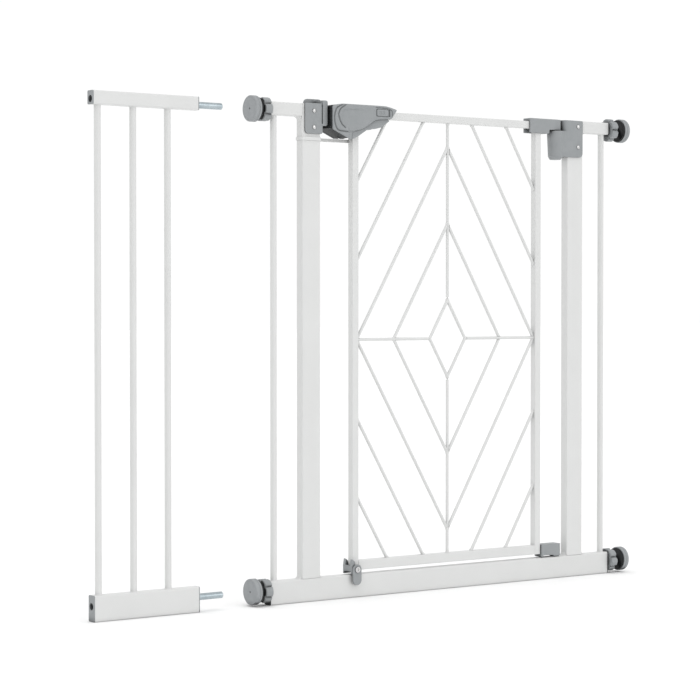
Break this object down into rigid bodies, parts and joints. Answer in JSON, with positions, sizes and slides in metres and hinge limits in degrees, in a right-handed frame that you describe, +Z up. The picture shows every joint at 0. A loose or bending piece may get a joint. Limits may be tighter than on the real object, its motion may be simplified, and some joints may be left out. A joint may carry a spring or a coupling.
{
  "type": "safety baby gate",
  "caption": "Pressure-mounted white steel walk-through baby gate with a nested-diamond lattice door, grey latch handle, hinge and wall pads, and a narrow barred extension panel",
  "frame": {"origin": "centre of the gate's bottom rail underside, on the floor, on the gate's centre plane", "axes": "+X along the gate towards the hinge side, +Y away from the side the door opens to, +Z up; metres"},
  "size_m": [1.0289, 0.0408, 0.769],
  "materials": {
    "white_coat": "white powder coat, satin with a fine orange-peel texture",
    "grey_plastic": "cool mid-grey moulded plastic, fine spark texture",
    "dark_plastic": "near-black moulded plastic",
    "bright_steel": "bright nickel-plated steel",
    "spring_steel": "oiled spring wire",
    "zinc_steel": "blue-white zinc plate",
    "black_steel": "black-plated threaded steel",
    "pad_rubber": "grey matt elastomer"
  },
  "bodies": {
    "frame": {"bottom_rail": "white_coat", "left_post": "white_coat", "right_post": "white_coat", "post_weld_fillets": "white_coat", "left_top_rail": "white_coat", "right_top_rail": "white_coat", "left_outer_bar": "white_coat", "right_outer_bar": "white_coat", "rail_end_plugs": "dark_plastic", "latch_catch": "grey_plastic", "catch_rivets": "bright_steel", "door_stop_strip": "white_coat", "hinge_bracket": "grey_plastic", "hinge_rivets": "bright_steel", "closer_spring": "spring_steel", "lower_hinge_bush": "grey_plastic"},
    "hinge_pins": {"upper_hinge_pin": "bright_steel", "lower_hinge_pin": "bright_steel"},
    "door": {"door_left_tube": "white_coat", "door_right_tube": "white_coat", "door_top_rail": "white_coat", "door_bottom_rail": "white_coat", "lattice_straight_rods": "white_coat", "inner_diamond": "white_coat", "middle_diamond": "white_coat", "outer_diamond": "white_coat", "corner_rods": "white_coat", "handle_front_shell": "grey_plastic", "handle_back_shell": "grey_plastic", "handle_core": "dark_plastic", "handle_screws": "bright_steel", "lever_pin": "bright_steel", "lever_spring": "spring_steel", "door_top_bracket": "grey_plastic", "lower_hinge_block": "grey_plastic", "bottom_clip": "grey_plastic", "bracket_screws": "bright_steel", "stop_tab_rivet": "bright_steel"},
    "squeeze_lever": {"squeeze_lever": "grey_plastic"},
    "lock_bolt": {"lock_bolt": "dark_plastic"},
    "thumb_slider": {"thumb_slider": "grey_plastic"},
    "stop_tab": {"stop_tab": "grey_plastic"},
    "extension": {"panel_top_tube": "white_coat", "panel_bottom_tube": "white_coat", "panel_bars": "white_coat", "panel_pegs": "zinc_steel", "panel_end_plugs": "grey_plastic"},
    "top_left_knob": {"top_left_knob": "grey_plastic"},
    "top_left_wall_mount": {"top_left_spindle": "black_steel", "top_left_pad": "pad_rubber"},
    "top_right_knob": {"top_right_knob": "grey_plastic"},
    "top_right_wall_mount": {"top_right_spindle": "black_steel", "top_right_pad": "pad_rubber"},
    "bottom_left_knob": {"bottom_left_knob": "grey_plastic"},
    "bottom_left_wall_mount": {"bottom_left_spindle": "black_steel", "bottom_left_pad": "pad_rubber"},
    "bottom_right_knob": {"bottom_right_knob": "grey_plastic"},
    "bottom_right_wall_mount": {"bottom_right_spindle": "black_steel", "bottom_right_pad": "pad_rubber"}
  },
  "joints": [
    {"name": "door_lift", "type": "slide", "parent": "frame", "child": "hinge_pins", "axis": [0, 0, 1], "range_m": [0, 0.008]},
    {"name": "door_swing", "type": "hinge", "parent": "hinge_pins", "child": "door", "pos_m": [0.231, 0, 0.4], "axis": [0, 0, 1], "range_deg": [0, 95], "stiffness_Nm_per_rad": 0.3},
    {"name": "lever_squeeze", "type": "hinge", "parent": "door", "child": "squeeze_lever", "pos_m": [-0.172, 0, 0.739], "axis": [0, -1, 0], "range_deg": [-12.01, 0], "stiffness_Nm_per_rad": 0.1, "springref_deg": -12},
    {"name": "bolt_slide", "type": "slide", "parent": "door", "child": "lock_bolt", "axis": [-1, 0, 0], "range_m": [0, 0.007]},
    {"name": "thumb_slide", "type": "slide", "parent": "door", "child": "thumb_slider", "axis": [1, 0, 0], "range_m": [0, 0.0036], "stiffness_N_per_m": 200},
    {"name": "tab_turn", "type": "hinge", "parent": "door", "child": "stop_tab", "pos_m": [-0.18615, -0.0139, 0.0438], "axis": [0, 1, 0], "range_deg": [0, 180]},
    {"name": "extension_dock", "type": "slide", "parent": "frame", "child": "extension", "axis": [1, 0, 0], "range_m": [-0.15, 0.025]},
    {"name": "top_left_knob_turn", "type": "hinge", "parent": "frame", "child": "top_left_knob", "pos_m": [-0.3505, 0, 0.748], "axis": [-1, 0, 0], "range_deg": [-433, 3601]},
    {"name": "top_left_pad_slide", "type": "slide", "parent": "frame", "child": "top_left_wall_mount", "axis": [-1, 0, 0], "range_m": [-0.003, 0.025]},
    {"name": "top_right_knob_turn", "type": "hinge", "parent": "frame", "child": "top_right_knob", "pos_m": [0.3505, 0, 0.748], "axis": [1, 0, 0], "range_deg": [-1297, 3601]},
    {"name": "top_right_pad_slide", "type": "slide", "parent": "frame", "child": "top_right_wall_mount", "axis": [1, 0, 0], "range_m": [-0.009, 0.025]},
    {"name": "bottom_left_knob_turn", "type": "hinge", "parent": "frame", "child": "bottom_left_knob", "pos_m": [-0.3505, 0, 0.022], "axis": [-1, 0, 0], "range_deg": [-433, 3601]},
    {"name": "bottom_left_pad_slide", "type": "slide", "parent": "frame", "child": "bottom_left_wall_mount", "axis": [-1, 0, 0], "range_m": [-0.003, 0.025]},
    {"name": "bottom_right_knob_turn", "type": "hinge", "parent": "frame", "child": "bottom_right_knob", "pos_m": [0.3505, 0, 0.022], "axis": [1, 0, 0], "range_deg": [-1297, 3601]},
    {"name": "bottom_right_pad_slide", "type": "slide", "parent": "frame", "child": "bottom_right_wall_mount", "axis": [1, 0, 0], "range_m": [-0.009, 0.025]}
  ],
  "couplings": [
    {"joint": "lever_squeeze", "follows": "bolt_slide", "rad_per_m": -29.92},
    {"joint": "top_left_knob_turn", "follows": "top_left_pad_slide", "rad_per_m": 2513.3},
    {"joint": "top_right_knob_turn", "follows": "top_right_pad_slide", "rad_per_m": 2513.3},
    {"joint": "bottom_left_knob_turn", "follows": "bottom_left_pad_slide", "rad_per_m": 2513.3},
    {"joint": "bottom_right_knob_turn", "follows": "bottom_right_pad_slide", "rad_per_m": 2513.3}
  ]
}
